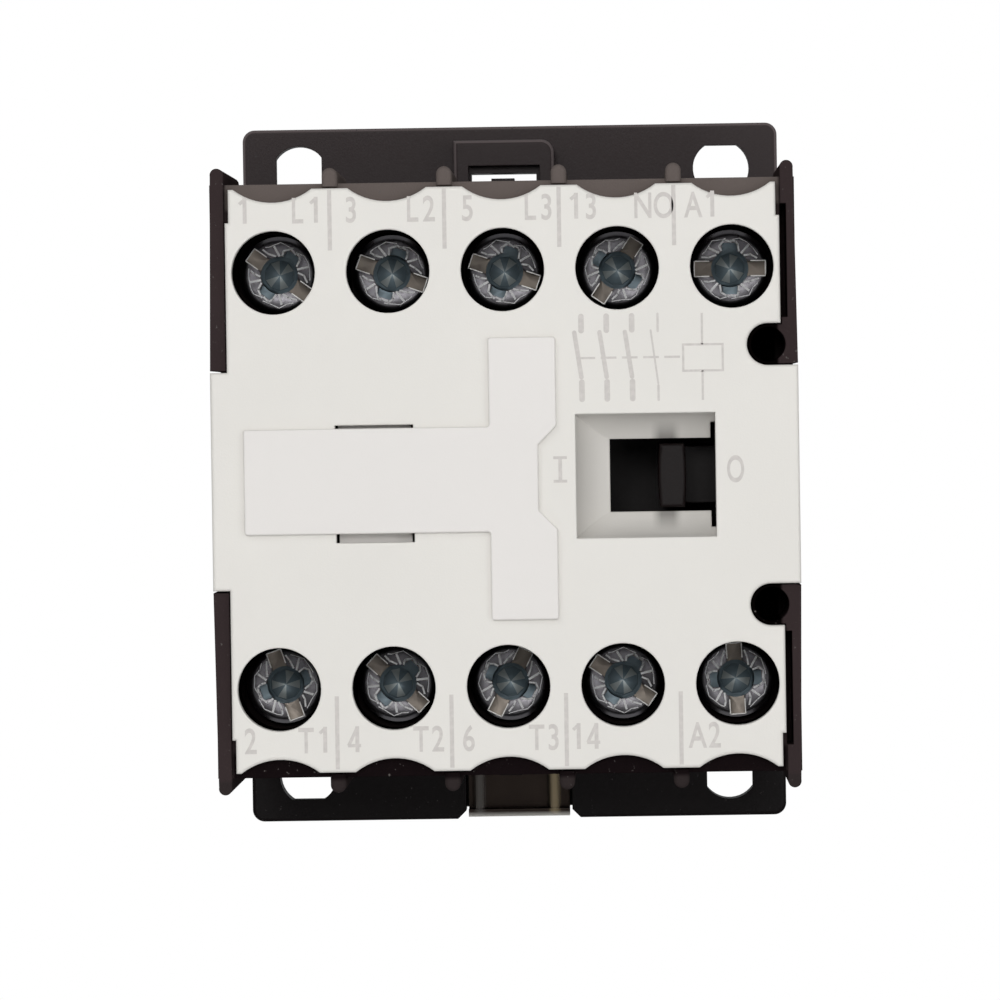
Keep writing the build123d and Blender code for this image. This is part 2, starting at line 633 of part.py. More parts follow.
def contact_carrier():
    """Sliding carrier: windows for four bridges, arm to the armature, indicator nub."""
    with BuildPart() as carrier:
        block(CARRIER_X, CARRIER_D, span(2 * CARRIER_HALF_Z))
        for x in POLES:
            bay_x = (x + BRIDGE_X[0], x + CARRIER_WEB_X)
            block(bay_x, CARRIER_WINDOW_D, span(2 * CARRIER_HALF_Z + 1), Mode.SUBTRACT)
        # arm down to the magnet, ears round the armature's yoke, wings for the springs
        block(ARM_X, ARM_D, span(2 * ARM_HALF_Z))
        block((EAR_X, ARM_X[1]), EAR_FRONT_D, span(2 * EAR_HALF_Z))
        block((EAR_X, ARM_X[1]), EAR_REAR_D, span(2 * EAR_HALF_Z))
        block(ARM_X, WING_D, span(2 * WING_HALF_Z))
        peg(PIN_X, 0, PIN_R, (PIN_D[0] - 1, PIN_D[1] + 1), Mode.SUBTRACT)
        # riser and the indicator nub, slightly barrel-shaped seen from the front
        block(RISER_X, (CARRIER_D[1] - 0.1, RISER_D), span(2 * RISER_HALF_Z))
        with BuildSketch(Plane.XZ.offset(RISER_D - 0.1)):
            with BuildLine():
                Line((NUB_X[0] + NUB_SWELL, -NUB_HALF_Z), (NUB_X[1] - NUB_SWELL, -NUB_HALF_Z))
                ThreePointArc(
                    (NUB_X[1] - NUB_SWELL, -NUB_HALF_Z),
                    (NUB_X[1], 0),
                    (NUB_X[1] - NUB_SWELL, NUB_HALF_Z),
                )
                Line((NUB_X[1] - NUB_SWELL, NUB_HALF_Z), (NUB_X[0] + NUB_SWELL, NUB_HALF_Z))
                ThreePointArc(
                    (NUB_X[0] + NUB_SWELL, NUB_HALF_Z),
                    (NUB_X[0], 0),
                    (NUB_X[0] + NUB_SWELL, -NUB_HALF_Z),
                )
            make_face()
        extrude(amount=NUB_D - RISER_D + 0.1)
        fillet(carrier.faces().sort_by(Axis.Y)[0].outer_wire().edges(), 0.25)
    return carrier.part


def contact_bridge(x):
    """Copper strip that joins the upper and lower fixed contacts of one pole."""
    with BuildPart() as bridge:
        strip_x = (x + BRIDGE_X[0], x + BRIDGE_X[1])
        block(strip_x, BRIDGE_D, span(2 * BRIDGE_HALF_Z))
        fillet(bridge.edges().filter_by(Axis.X), 0.6)
    return bridge.part


def bridge_tips(x):
    """The two silver tips brazed on one bridge."""
    with BuildPart() as tips:
        for side in (1, -1):
            cross_peg(side * TIP_Z, TIP_D, TIP_R, (x + BRIDGE_FACE, x + BRIDGE_X[0]))
    return tips.part


def contact_spring(x):
    """Spring that presses one bridge against the carrier's window edge."""
    start = (x + BRIDGE_X[1] + 0.02, -TIP_D, 0)
    end = (x + CARRIER_WEB_X - 0.02, -TIP_D, 0)
    return coil(CONTACT_SPRING_R, CONTACT_WIRE_R, start, end, 3)


def fixed_contact(x, side):
    """Terminal track bent down into the chamber as the tongue of a fixed contact."""
    with BuildPart() as track:
        block((x - TRACK_HALF, x + TRACK_HALF), TRACK_D, mirrored((TRACK_START_Z, TRACK_END_Z), side))
        tongue_x = (x + TONGUE_X, x + TONGUE_X + TONGUE_T)
        neck_x = (x + TONGUE_X, x + TRACK_HALF - 2)
        block(neck_x, TRACK_D, mirrored((TONGUE_Z[1] - 1, TRACK_START_Z + 1), side))
        block(tongue_x, (TONGUE_LOW_D, TRACK_D[1]), mirrored(TONGUE_Z, side))
        peg(x, side * TERMINAL_Z, SCREW_HOLE_R, (TRACK_D[0] - 1, TRACK_D[1] + 1), Mode.SUBTRACT)
    return track.part


def fixed_contact_tips():
    """The silver tips of all the fixed contacts."""
    with BuildPart() as tips:
        for x in POLES:
            for side in (1, -1):
                cross_peg(side * TIP_Z, TIP_D, TIP_R, (x + TONGUE_X + TONGUE_T, x + FIXED_FACE))
    return tips.part


def coil_terminal(side):
    """Terminal track of one end of the coil, with the tag that its lead is soldered to."""
    with BuildPart() as track:
        track_x = (COIL_X - TRACK_HALF, COIL_X + TRACK_HALF)
        block(track_x, TRACK_D, mirrored((TRACK_START_Z, TRACK_END_Z), side))
        tag_x = (LEAD_END[0] - 0.9, LEAD_END[0] + 0.9)
        block(tag_x, TRACK_D, mirrored((LEAD_END[1] - 0.9, TRACK_START_Z + 1), side))
        peg(COIL_X, side * TERMINAL_Z, SCREW_HOLE_R, (TRACK_D[0] - 1, TRACK_D[1] + 1), Mode.SUBTRACT)
    return track.part


# ---- terminal screws -----------------------------------------------------------------


def drive_groove(x, z, width, reach, depth, angle):
    """One straight groove across a screw head, turned about the screw's axis."""
    with Locations(Location((x, -HEAD_D[1], z), (0, -angle, 0))):
        Box(2 * reach, 2 * depth, width, mode=Mode.SUBTRACT)


def terminal_screw(x, side, angle):
    """Pan-head clamp screw with a combined slot and cross recess."""
    z = side * TERMINAL_Z
    with BuildPart() as screw:
        peg(x, z, SCREW_R, (SCREW_TIP_D, HEAD_D[0] + 0.1))
        peg(x, z, HEAD_R, HEAD_D)
        rim = screw.edges().filter_by(GeomType.CIRCLE).sort_by(Axis.Y)[0]
        fillet(rim, HEAD_DOME)
        drive_groove(x, z, SLOT_W, HEAD_R + 1, SLOT_DEPTH, angle)
        drive_groove(x, z, CROSS_W, CROSS_REACH, CROSS_DEPTH, angle)
        drive_groove(x, z, CROSS_W, CROSS_REACH, CROSS_DEPTH, angle + 90)
    return screw.part


def clamp_saddle(x, side):
    """Captive clamp plate under the screw head, its inner and outer edges turned down."""
    z = side * TERMINAL_Z
    with BuildPart() as saddle:
        saddle_x = (x - SADDLE_HALF_X, x + SADDLE_HALF_X)
        block(saddle_x, SADDLE_D, (z - SADDLE_HALF_Z, z + SADDLE_HALF_Z))
        for lip in (1, -1):
            edge = z + lip * SADDLE_HALF_Z
            lip_z = (min(edge, edge - lip * SADDLE_LIP_T), max(edge, edge - lip * SADDLE_LIP_T))
            block(saddle_x, (SADDLE_D[0] - 0.1, SADDLE_D[1] + SADDLE_LIP), lip_z)
        peg(x, z, SADDLE_HOLE_R, (SADDLE_D[0] - 1, SADDLE_D[1] + 1), Mode.SUBTRACT)
    return saddle.part


# ---- magnet --------------------------------------------------------------------------


def magnet_half(yoke_x, limb_x):
    """An E-shaped laminated stack: a yoke with a centre limb and two outer limbs."""
    with BuildPart() as stack:
        block(yoke_x, STACK_D, span(2 * OUTER_LIMB[1]))
        block(limb_x, STACK_D, span(2 * CENTRE_LIMB_HALF))
        for side in (1, -1):
            block(limb_x, STACK_D, mirrored(OUTER_LIMB, side))
    return stack.part


def ring_z(side):
    """The Z span of one shading ring, which goes round the outer half of a pole."""
    return mirrored((OUTER_LIMB[0] + 1.8, OUTER_LIMB[1] + RING_BAR + 0.1), side)


def magnet_core():
    """Fixed half of the magnet, its outer poles grooved for the shading rings."""
    with BuildPart() as core:
        add(magnet_half((CORE_X[0], CORE_X[0] + YOKE_T), (CORE_X[0] + YOKE_T - 0.1, CORE_X[1])))
        for side in (1, -1):
            low, high = ring_z(side)
            groove = (low, low + RING_BAR) if side > 0 else (high - RING_BAR, high)
            block((RING_X[0], CORE_X[1] + 1), (STACK_D[0] - 1, STACK_D[1] + 1), groove, Mode.SUBTRACT)
    return core.part


def shading_rings():
    """Copper shading rings pressed into the outer poles."""
    with BuildPart() as rings:
        for side in (1, -1):
            low, high = ring_z(side)
            outer_d = (STACK_D[0] - RING_BAR, STACK_D[1] + RING_BAR)
            block(RING_X, outer_d, (low, high))
            inner_z = (low + RING_BAR, high - RING_BAR)
            block((RING_X[0] - 1, RING_X[1] + 1), STACK_D, inner_z, Mode.SUBTRACT)
    return rings.part


def armature():
    """Moving half of the magnet, drilled for the pin that holds it in the carrier."""
    with BuildPart() as moving:
        yoke_x = (ARMATURE_X[1] - YOKE_T, ARMATURE_X[1])
        add(magnet_half(yoke_x, (ARMATURE_X[0], yoke_x[0] + 0.1)))
        peg(PIN_X, 0, PIN_R, (STACK_D[0] - 1, STACK_D[1] + 1), Mode.SUBTRACT)
    return moving.part


def armature_pin():
    """Steel pin through the carrier's ears and the armature's yoke."""
    with BuildPart() as pin:
        peg(PIN_X, 0, PIN_R, PIN_D)
    return pin.part


def coil_bobbin():
    """Bobbin: a square tube between two flanges."""
    with BuildPart() as bobbin:
        block(BOBBIN_X, BOBBIN_TUBE_D, span(2 * BOBBIN_TUBE_HALF_Z))
        left = (BOBBIN_X[0], BOBBIN_X[0] + BOBBIN_FLANGE_T)
        right = (BOBBIN_X[1] - BOBBIN_FLANGE_T, BOBBIN_X[1])
        for flange_x in (left, right):
            block(flange_x, BOBBIN_FLANGE_D, span(2 * BOBBIN_FLANGE_HALF_Z))
        bore_x = (BOBBIN_X[0] - 1, BOBBIN_X[1] + 1)
        block(bore_x, BOBBIN_BORE_D, span(2 * BOBBIN_BORE_HALF_Z), Mode.SUBTRACT)
    return bobbin.part


def coil_winding():
    """The wound copper wire as one body with rounded corners."""
    wound_x = (BOBBIN_X[0] + BOBBIN_FLANGE_T, BOBBIN_X[1] - BOBBIN_FLANGE_T)
    with BuildPart() as winding:
        block(wound_x, WINDING_D, span(2 * WINDING_HALF_Z))
        fillet(winding.edges().filter_by(Axis.X), 2.0)
        block((wound_x[0] - 1, wound_x[1] + 1), BOBBIN_TUBE_D, span(2 * BOBBIN_TUBE_HALF_Z), Mode.SUBTRACT)
    return winding.part


def coil_leads():
    """Two wires from the winding to the coil terminals."""
    with BuildPart() as leads:
        for side in (1, -1):
            start_x, start_z = LEAD_START
            end_x, end_z = LEAD_END
            with BuildLine():
                path = FilletPolyline(
                    (start_x, -WINDING_D[1], side * start_z),
                    (start_x, -LEAD_RUN_D, side * start_z),
                    (end_x, -LEAD_RUN_D, side * end_z),
                    (end_x, -TRACK_D[0], side * end_z),
                    radius=0.8,
                )
            with BuildSketch(Plane(path @ 0, z_dir=path % 0)):
                Circle(LEAD_R)
            sweep(path=path)
    return leads.part


def core_pads():
    """Rubber pads between the core's yoke and the housing wall."""
    with BuildPart() as pads:
        for side in (1, -1):
            pad_x = (-BASE_W / 2 + WALL, CORE_X[0])
            block(pad_x, (STACK_D[0] + 1, STACK_D[1] - 1), mirrored((5.5, 11.5), side))
    return pads.part


def return_springs():
    """Two springs that push the carrier back to its open position."""
    with BuildPart() as springs:
        for side in (1, -1):
            start = (RETURN_WALL_X[1] + 0.02, -RETURN_D, side * RETURN_Z)
            end = (ARM_X[0] - 0.02, -RETURN_D, side * RETURN_Z)
            add(coil(RETURN_R, RETURN_WIRE_R, start, end, 9))
    return springs.part


# ---- write every piece ---------------------------------------------------------------

save(base_housing(), "base_housing")
save(contact_housing(), "contact_housing")
save(front_cover(), "front_cover")
save(label_plate(), "label_plate")
save(rail_latch(), "rail_latch")
save(rail_latch_spring(), "rail_latch_spring")
save(contact_carrier(), "contact_carrier")
for number, pole_x in enumerate(POLES, start=1):
    save(contact_bridge(pole_x), f"contact_bridge_{number}")
    save(bridge_tips(pole_x), f"bridge_tips_{number}")
    save(contact_spring(pole_x), f"contact_spring_{number}")
for index, terminal in enumerate(TERMINAL_NAMES):
    column_x = COLUMNS[index % 5]
    half = 1 if index < 5 else -1
    if column_x == COIL_X:
        save(coil_terminal(half), f"coil_terminal_{terminal}")
    else:
        save(fixed_contact(column_x, half), f"fixed_contact_{terminal}")
    save(terminal_screw(column_x, half, SLOT_ANGLES[index]), f"terminal_screw_{terminal}")
    save(clamp_saddle(column_x, half), f"clamp_saddle_{terminal}")
save(fixed_contact_tips(), "fixed_contact_tips")
save(magnet_core(), "magnet_core")
save(shading_rings(), "shading_rings")
save(armature(), "armature")
save(armature_pin(), "armature_pin")
save(coil_bobbin(), "coil_bobbin")
save(coil_winding(), "coil_winding")
save(coil_leads(), "coil_leads")
save(core_pads(), "core_pads")
save(return_springs(), "return_springs")
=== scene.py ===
import bpy
import json
import math
from mathutils import Euler, Matrix, Vector


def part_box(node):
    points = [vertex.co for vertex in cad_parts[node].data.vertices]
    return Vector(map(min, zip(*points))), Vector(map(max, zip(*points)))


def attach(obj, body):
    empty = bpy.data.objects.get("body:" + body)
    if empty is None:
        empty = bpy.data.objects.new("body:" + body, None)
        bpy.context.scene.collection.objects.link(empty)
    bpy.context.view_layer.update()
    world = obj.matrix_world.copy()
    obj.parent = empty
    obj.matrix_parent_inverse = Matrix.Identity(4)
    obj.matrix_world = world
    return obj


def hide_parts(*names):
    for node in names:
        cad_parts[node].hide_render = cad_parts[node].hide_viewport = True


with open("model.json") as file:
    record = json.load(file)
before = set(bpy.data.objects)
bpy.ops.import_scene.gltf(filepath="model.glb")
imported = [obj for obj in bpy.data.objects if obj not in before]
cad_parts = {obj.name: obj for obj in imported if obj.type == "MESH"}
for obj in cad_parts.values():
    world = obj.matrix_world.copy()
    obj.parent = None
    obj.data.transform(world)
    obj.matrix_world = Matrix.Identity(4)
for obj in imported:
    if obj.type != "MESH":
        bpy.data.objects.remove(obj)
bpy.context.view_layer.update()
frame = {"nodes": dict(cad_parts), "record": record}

# Metres, in the CAD frame: X to the right, Y into the mounting surface, Z up.
MM = 0.001
COVER_FACE = -52.0 * MM
FACE_FRONT = Euler((math.radians(90), 0, 0)).to_matrix().to_4x4()


# ---- small tools ---------------------------------------------------------------------

MERGE_DISTANCE = 0.002 * MM


def clear_selection():
    """Nothing selected, object mode."""
    if bpy.context.object and bpy.context.object.mode != "OBJECT":
        bpy.ops.object.mode_set(mode="OBJECT")
    bpy.ops.object.select_all(action="DESELECT")


def only(piece):
    """Select one piece and make it active."""
    clear_selection()
    piece.select_set(True)
    bpy.context.view_layer.objects.active = piece


def settle(piece):
    """Move a piece's place, turn and scale into its mesh."""
    only(piece)
    bpy.ops.object.transform_apply(location=True, rotation=True, scale=True)
    return piece


def join(pieces, name):
    """Join several meshes into one named piece."""
    clear_selection()
    for piece in pieces:
        piece.select_set(True)
    bpy.context.view_layer.objects.active = pieces[0]
    bpy.ops.object.join()
    joined = bpy.context.object
    joined.name = name
    joined.data.name = name
    return settle(joined)


def apply_modifiers(piece):
    """Apply every modifier of a piece in order."""
    only(piece)
    for modifier in list(piece.modifiers):
        bpy.ops.object.modifier_apply(modifier=modifier.name)
    return piece


def recalculate(piece):
    """Merge doubles and point all faces outwards."""
    only(piece)
    bpy.ops.object.mode_set(mode="EDIT")
    bpy.ops.mesh.select_all(action="SELECT")
    bpy.ops.mesh.remove_doubles(threshold=MERGE_DISTANCE)
    bpy.ops.mesh.normals_make_consistent(inside=False)
    bpy.ops.object.mode_set(mode="OBJECT")
    return piece


def soften(piece, width, segments, angle):
    """Round the edges of a piece that are sharper than an angle."""
    modifier = piece.modifiers.new("soften", "BEVEL")
    modifier.width = width
    modifier.segments = segments
    modifier.limit_method = "ANGLE"
    modifier.angle_limit = math.radians(angle)
    return apply_modifiers(piece)


def shade(piece, angle):
    """Smooth shading up to an edge angle."""
    only(piece)
    bpy.ops.object.shade_smooth_by_angle(angle=math.radians(angle))
    return piece


# ---- nodes ---------------------------------------------------------------------------


def node_parts(material):
    """A material's nodes, its links and its Principled shader."""
    tree = material.node_tree
    return tree.nodes, tree.links, tree.nodes["Principled BSDF"]


def new_material(name):
    """A new material, followed by its parts."""
    material = bpy.data.materials.new(name)
    material.use_nodes = True
    return (material, *node_parts(material))


def object_noise(nodes, links, scale, detail, roughness=0.5, stretch=(1, 1, 1)):
    """A noise in the piece's own coordinates."""
    place = nodes.new("ShaderNodeTexCoord")
    mapping = nodes.new("ShaderNodeMapping")
    mapping.inputs["Scale"].default_value = stretch
    noise = nodes.new("ShaderNodeTexNoise")
    noise.inputs["Scale"].default_value = scale
    noise.inputs["Detail"].default_value = detail
    noise.inputs["Roughness"].default_value = roughness
    links.new(place.outputs["Object"], mapping.inputs["Vector"])
    links.new(mapping.outputs["Vector"], noise.inputs["Vector"])
    return noise.outputs["Fac"]


def object_bands(nodes, links, direction, scale, distortion, detail):
    """A wave in bands across one of the piece's own axes."""
    place = nodes.new("ShaderNodeTexCoord")
    wave = nodes.new("ShaderNodeTexWave")
    wave.bands_direction = direction
    wave.inputs["Scale"].default_value = scale
    wave.inputs["Distortion"].default_value = distortion
    wave.inputs["Detail"].default_value = detail
    links.new(place.outputs["Object"], wave.inputs["Vector"])
    return wave.outputs["Fac"]


def ramp(nodes, links, value, stops):
    """A colour ramp over a value; stops are (place, colour) pairs."""
    node = nodes.new("ShaderNodeValToRGB")
    elements = node.color_ramp.elements
    elements[0].position, elements[0].color = stops[0][0], (*stops[0][1], 1)
    elements[1].position, elements[1].color = stops[-1][0], (*stops[-1][1], 1)
    for place, colour in stops[1:-1]:
        element = elements.new(place)
        element.color = (*colour, 1)
    links.new(value, node.inputs["Fac"])
    return node.outputs["Color"]


def shades(colour, low, high, places):
    """Ramp stops from a darker shade of a colour, through it, to a lighter one."""
    mixed = [tuple(min(1.0, part * share) for part in colour) for share in (low, 1.0, high)]
    return list(zip(places, mixed))


def map_range(nodes, links, value, start=(0.0, 1.0), end=(0.0, 1.0)):
    """Map a value from one range to another, held at both ends."""
    node = nodes.new("ShaderNodeMapRange")
    node.inputs["From Min"].default_value, node.inputs["From Max"].default_value = start
    node.inputs["To Min"].default_value, node.inputs["To Max"].default_value = end
    links.new(value, node.inputs["Value"])
    return node.outputs["Result"]


def calculate(nodes, links, operation, *values):
    """One operation on one or two values."""
    node = nodes.new("ShaderNodeMath")
    node.operation = operation
    for value, socket in zip(values, node.inputs):
        links.new(value, socket)
    return node.outputs["Value"]


def add_bump(nodes, links, shader, height, strength, distance):
    """A bump from a height, at most a distance deep."""
    bump = nodes.new("ShaderNodeBump")
    bump.inputs["Strength"].default_value = strength
    bump.inputs["Distance"].default_value = distance
    links.new(height, bump.inputs["Height"])
    links.new(bump.outputs["Normal"], shader.inputs["Normal"])
    return bump


def round_edges(nodes, links, bump, radius):
    """Let a bump start from edges that are rounded by a small radius."""
    rounding = nodes.new("ShaderNodeBevel")
    rounding.samples = 4
    rounding.inputs["Radius"].default_value = radius
    links.new(rounding.outputs["Normal"], bump.inputs["Normal"])


def along_axis(nodes, links, axis, none, full, most=1.0):
    """0 at one place on an axis, most at another; absX and absZ count from the middle."""
    place = nodes.new("ShaderNodeTexCoord")
    split = nodes.new("ShaderNodeSeparateXYZ")
    links.new(place.outputs["Object"], split.inputs["Vector"])
    value = split.outputs[axis[-1]]
    if axis.startswith("abs"):
        value = calculate(nodes, links, "ABSOLUTE", value)
    return map_range(nodes, links, value, (none, full), (0.0, most))


def overlap(nodes, links, *masks):
    """Where several masks lie over each other: their product."""
    shared = masks[0]
    for mask in masks[1:]:
        shared = calculate(nodes, links, "MULTIPLY", shared, mask)
    return shared


def between(nodes, links, axis, low, high, fade, most=1.0):
    """Most between two places on an axis, fading to 0 outside them."""
    rising = along_axis(nodes, links, axis, low - fade, low)
    falling = along_axis(nodes, links, axis, high + fade, high, most)
    return overlap(nodes, links, rising, falling)


def tint(nodes, links, shader, amount, colour):
    """Blend the base colour towards another one by an amount."""
    current = shader.inputs["Base Color"].links[0].from_socket
    blend = nodes.new("ShaderNodeMix")
    blend.data_type = "RGBA"
    links.new(amount, blend.inputs["Factor"])
    links.new(current, blend.inputs["A"])
    blend.inputs["B"].default_value = (*colour, 1)
    links.new(blend.outputs["Result"], shader.inputs["Base Color"])


# ---- materials -----------------------------------------------------------------------

CLOUD_SCALE = 90
GRAIN_SCALE = 6500
GRAIN_DEPTH = 0.04 * MM
GRAIN_GLOSS = 0.06
STAIN_SCALE = 420
BRUSH_SCALE = 2600
BRUSH_DEPTH = 0.02 * MM
BRUSH_GLOSS = 0.3
DUST_SCALE = 2400
DUST_SPECKS = (0.69, 0.76)
INK_SCALE = 2500


def moulded_plastic(name, colour, roughness, grain=0.35, clouds=0.03, specular=0.5, edge=0.12):
    """Moulded plastic with a spark-eroded grain, faint clouds of colour and soft edges."""
    material, nodes, links, shader = new_material(name)
    cloud = object_noise(nodes, links, CLOUD_SCALE, 3)
    stops = shades(colour, 1 - clouds, 1 + clouds, (0.3, 0.5, 0.7))
    links.new(ramp(nodes, links, cloud, stops), shader.inputs["Base Color"])
    fine = object_noise(nodes, links, GRAIN_SCALE, 2, 0.6)
    gloss = (roughness - GRAIN_GLOSS, roughness + GRAIN_GLOSS)
    links.new(map_range(nodes, links, fine, end=gloss), shader.inputs["Roughness"])
    bump = add_bump(nodes, links, shader, fine, grain, GRAIN_DEPTH)
    round_edges(nodes, links, bump, edge * MM)
    shader.inputs["Specular IOR Level"].default_value = specular
    return material


def dust(nodes, links, shader, colour):
    """Sparse pale specks of dust."""
    speck = object_noise(nodes, links, DUST_SCALE, 2, 0.7)
    tint(nodes, links, shader, map_range(nodes, links, speck, DUST_SPECKS), colour)


def front_housing_black():
    """Black moulding: a painted reflection greys it above the screws, painted shade darkens it below
    them, and painted shade is deepest in the screw holes.
    """
    material = moulded_plastic(
        "front_housing_black", (0.036, 0.026, 0.0265), 0.6, grain=0.3, clouds=0.1, specular=0.0
    )
    nodes, links, shader = node_parts(material)
    # Painted shade: the screw holes are darkened almost to black.
    hole_columns = along_axis(nodes, links, "absX", 21.1 * MM, 20.9 * MM)
    hole_rows = along_axis(nodes, links, "absZ", 19.8 * MM, 19.4 * MM)
    painted_hole_shade = overlap(nodes, links, hole_columns, hole_rows)
    tint(nodes, links, shader, painted_hole_shade, (0.002, 0.0013, 0.0013))
    # A painted reflection greys the housing above the screws; painted shade blackens it below them.
    upper_painted_reflection, lower_painted_shade = (0.125, 0.104, 0.096), (0.0085, 0.0056, 0.0062)
    for side, colour in ((1, upper_painted_reflection), (-1, lower_painted_shade)):
        inside_walls = along_axis(nodes, links, "absX", 21.3 * MM, 21.1 * MM)
        past_screws = along_axis(nodes, links, "Z", side * 20.6 * MM, side * 21.0 * MM)
        tint(nodes, links, shader, overlap(nodes, links, inside_walls, past_screws), colour)
    rib_noses = along_axis(nodes, links, "Z", -22.8 * MM, -23.1 * MM)
    tint(nodes, links, shader, rib_noses, (0.03, 0.0235, 0.0235))
    dust(nodes, links, shader, (0.11, 0.1, 0.095))
    return material


def foot_black():
    """Black moulding of the foot, made a little greyer by painted light towards the top and by painted
    highlights along its front edges.
    """
    material = moulded_plastic(
        "foot_black", (0.002, 0.0006, 0.0008), 0.4, grain=0.25, clouds=0.1, specular=0.1, edge=0.1
    )
    nodes, links, shader = node_parts(material)
    # Painted light: the foot greys towards the top.
    painted_light_upwards = along_axis(nodes, links, "Z", 0, 29 * MM)
    tint(nodes, links, shader, painted_light_upwards, (0.029, 0.0205, 0.0208))
    # Painted highlights along the rounded front edges of the arch and the plate.
    above_cover = along_axis(nodes, links, "Z", 22.5 * MM, 22.7 * MM, 0.7)
    arch_edge, plate_edge = (-5.56 * MM, -5.32 * MM), (-2.97 * MM, -2.72 * MM)
    for front, rear in (arch_edge, plate_edge):
        rounding = between(nodes, links, "Y", front, rear, 0.03 * MM)
        painted_edge_highlight = overlap(nodes, links, above_cover, rounding)
        tint(nodes, links, shader, painted_edge_highlight, (0.15, 0.125, 0.125))
    dust(nodes, links, shader, (0.035, 0.03, 0.03))
    return material


def cover_grey():
    """Light grey moulding, with painted shade in the sunk window and a darker painted shadow beside the
    nub.
    """
    material = moulded_plastic(
        "cover_grey", (0.735, 0.715, 0.675), 0.5, grain=0.2, clouds=0.012, specular=0.4, edge=0.2
    )
    nodes, links, shader = node_parts(material)
    # Painted shade darkens the sunk window, and a painted shadow lies beside the nub.
    sunk = along_axis(nodes, links, "Y", -51.9 * MM, -51.2 * MM)
    across = between(nodes, links, "X", 5.2 * MM, 16.3 * MM, 0.1 * MM)
    upright = between(nodes, links, "Z", -5.0 * MM, 5.1 * MM, 0.1 * MM, 0.36)
    tint(nodes, links, shader, overlap(nodes, links, sunk, across, upright), (0.3, 0.28, 0.26))
    from_left = between(nodes, links, "X", 11.9 * MM, 12.8 * MM, 0.75 * MM)
    to_nub = along_axis(nodes, links, "X", 13.9 * MM, 13.0 * MM)
    nub_height = along_axis(nodes, links, "absZ", 4.3 * MM, 3.0 * MM, 0.62)
    shadow = overlap(nodes, links, from_left, to_nub, sunk, nub_height)
    tint(nodes, links, shader, shadow, (0.05, 0.045, 0.04))
    return material


def plated_steel(name, colour, roughness, brush=(1, 1, 1), scratches=0.2, clouds=0.12, metal=1.0):
    """Zinc-plated or bare steel with fine drawing lines and uneven gloss."""
    material, nodes, links, shader = new_material(name)
    shader.inputs["Metallic"].default_value = metal
    stain = object_noise(nodes, links, STAIN_SCALE, 4)
    stops = shades(colour, 1 - clouds, 1 + clouds, (0.3, 0.5, 0.72))
    links.new(ramp(nodes, links, stain, stops), shader.inputs["Base Color"])
    lines = object_noise(nodes, links, BRUSH_SCALE, 3, 0.6, brush)
    gloss = (roughness * (1 - BRUSH_GLOSS), roughness * (1 + BRUSH_GLOSS))
    links.new(map_range(nodes, links, lines, end=gloss), shader.inputs["Roughness"])
    add_bump(nodes, links, shader, lines, scratches, BRUSH_DEPTH)
    return material


def saddle_finish():
    """Zinc-plated clamp, with painted shade darkening the face that lies under the screw head."""
    material = plated_steel("zinc_saddle", (0.5, 0.52, 0.54), 0.35, brush=(1, 1, 8))
    nodes, links, shader = node_parts(material)
    # Painted shade on the face under the screw head.
    face = along_axis(nodes, links, "Y", -39.0 * MM, -39.2 * MM)
    tint(nodes, links, shader, face, (0.003, 0.0022, 0.0022))
    return material


def latch_finish():
    """Drawn latch sheet, dark brown, with two lighter strips along its flanges and a lighter lip at the
    bottom.
    """
    material = plated_steel("latch_steel", (0.021, 0.016, 0.0135), 0.36, brush=(8, 1, 1))
    nodes, links, shader = node_parts(material)
    half_strip, fade = 0.1 * MM, 0.45 * MM
    left_strip, right_strip = (-3.25 * MM, (0.06, 0.056, 0.052)), (2.95 * MM, (0.15, 0.122, 0.078))
    for centre, colour in (left_strip, right_strip):
        strip = between(nodes, links, "X", centre - half_strip, centre + half_strip, fade)
        tint(nodes, links, shader, strip, colour)
    lip = along_axis(nodes, links, "Z", -28.1 * MM, -28.45 * MM)
    tint(nodes, links, shader, lip, (0.3, 0.29, 0.27))
    return material


def laminated_steel(name):
    """Stacked electrical sheets, seen as fine lines across the stack."""
    material, nodes, links, shader = new_material(name)
    shader.inputs["Metallic"].default_value = 0.85
    sheets = object_bands(nodes, links, "Y", 320, 0.4, 1.0)
    stops = [(0.0, (0.05, 0.05, 0.055)), (0.35, (0.2, 0.2, 0.21)), (1.0, (0.3, 0.3, 0.31))]
    links.new(ramp(nodes, links, sheets, stops), shader.inputs["Base Color"])
    links.new(map_range(nodes, links, sheets, end=(0.6, 0.4)), shader.inputs["Roughness"])
    add_bump(nodes, links, shader, sheets, 0.5, 0.08 * MM)
    return material


def enamelled_winding(name):
    """Turns of enamelled wire lying side by side."""
    material, nodes, links, shader = new_material(name)
    shader.inputs["Metallic"].default_value = 0.9
    shader.inputs["Roughness"].default_value = 0.32
    turns = object_bands(nodes, links, "X", 700, 0.6, 2.0)
    stops = [(0.0, (0.08, 0.025, 0.01)), (0.5, (0.4, 0.14, 0.05)), (1.0, (0.62, 0.26, 0.11))]
    links.new(ramp(nodes, links, turns, stops), shader.inputs["Base Color"])
    add_bump(nodes, links, shader, turns, 0.8, 0.1 * MM)
    return material


def print_ink(name, colour):
    """Matt ink, a little uneven."""
    material, nodes, links, shader = new_material(name)
    speck = object_noise(nodes, links, INK_SCALE, 3)
    stops = shades(colour, 0.96, 1.06, (0.35, 0.5, 0.65))
    links.new(ramp(nodes, links, speck, stops), shader.inputs["Base Color"])
    shader.inputs["Roughness"].default_value = 0.6
    shader.inputs["Specular IOR Level"].default_value = 0.3
    return material
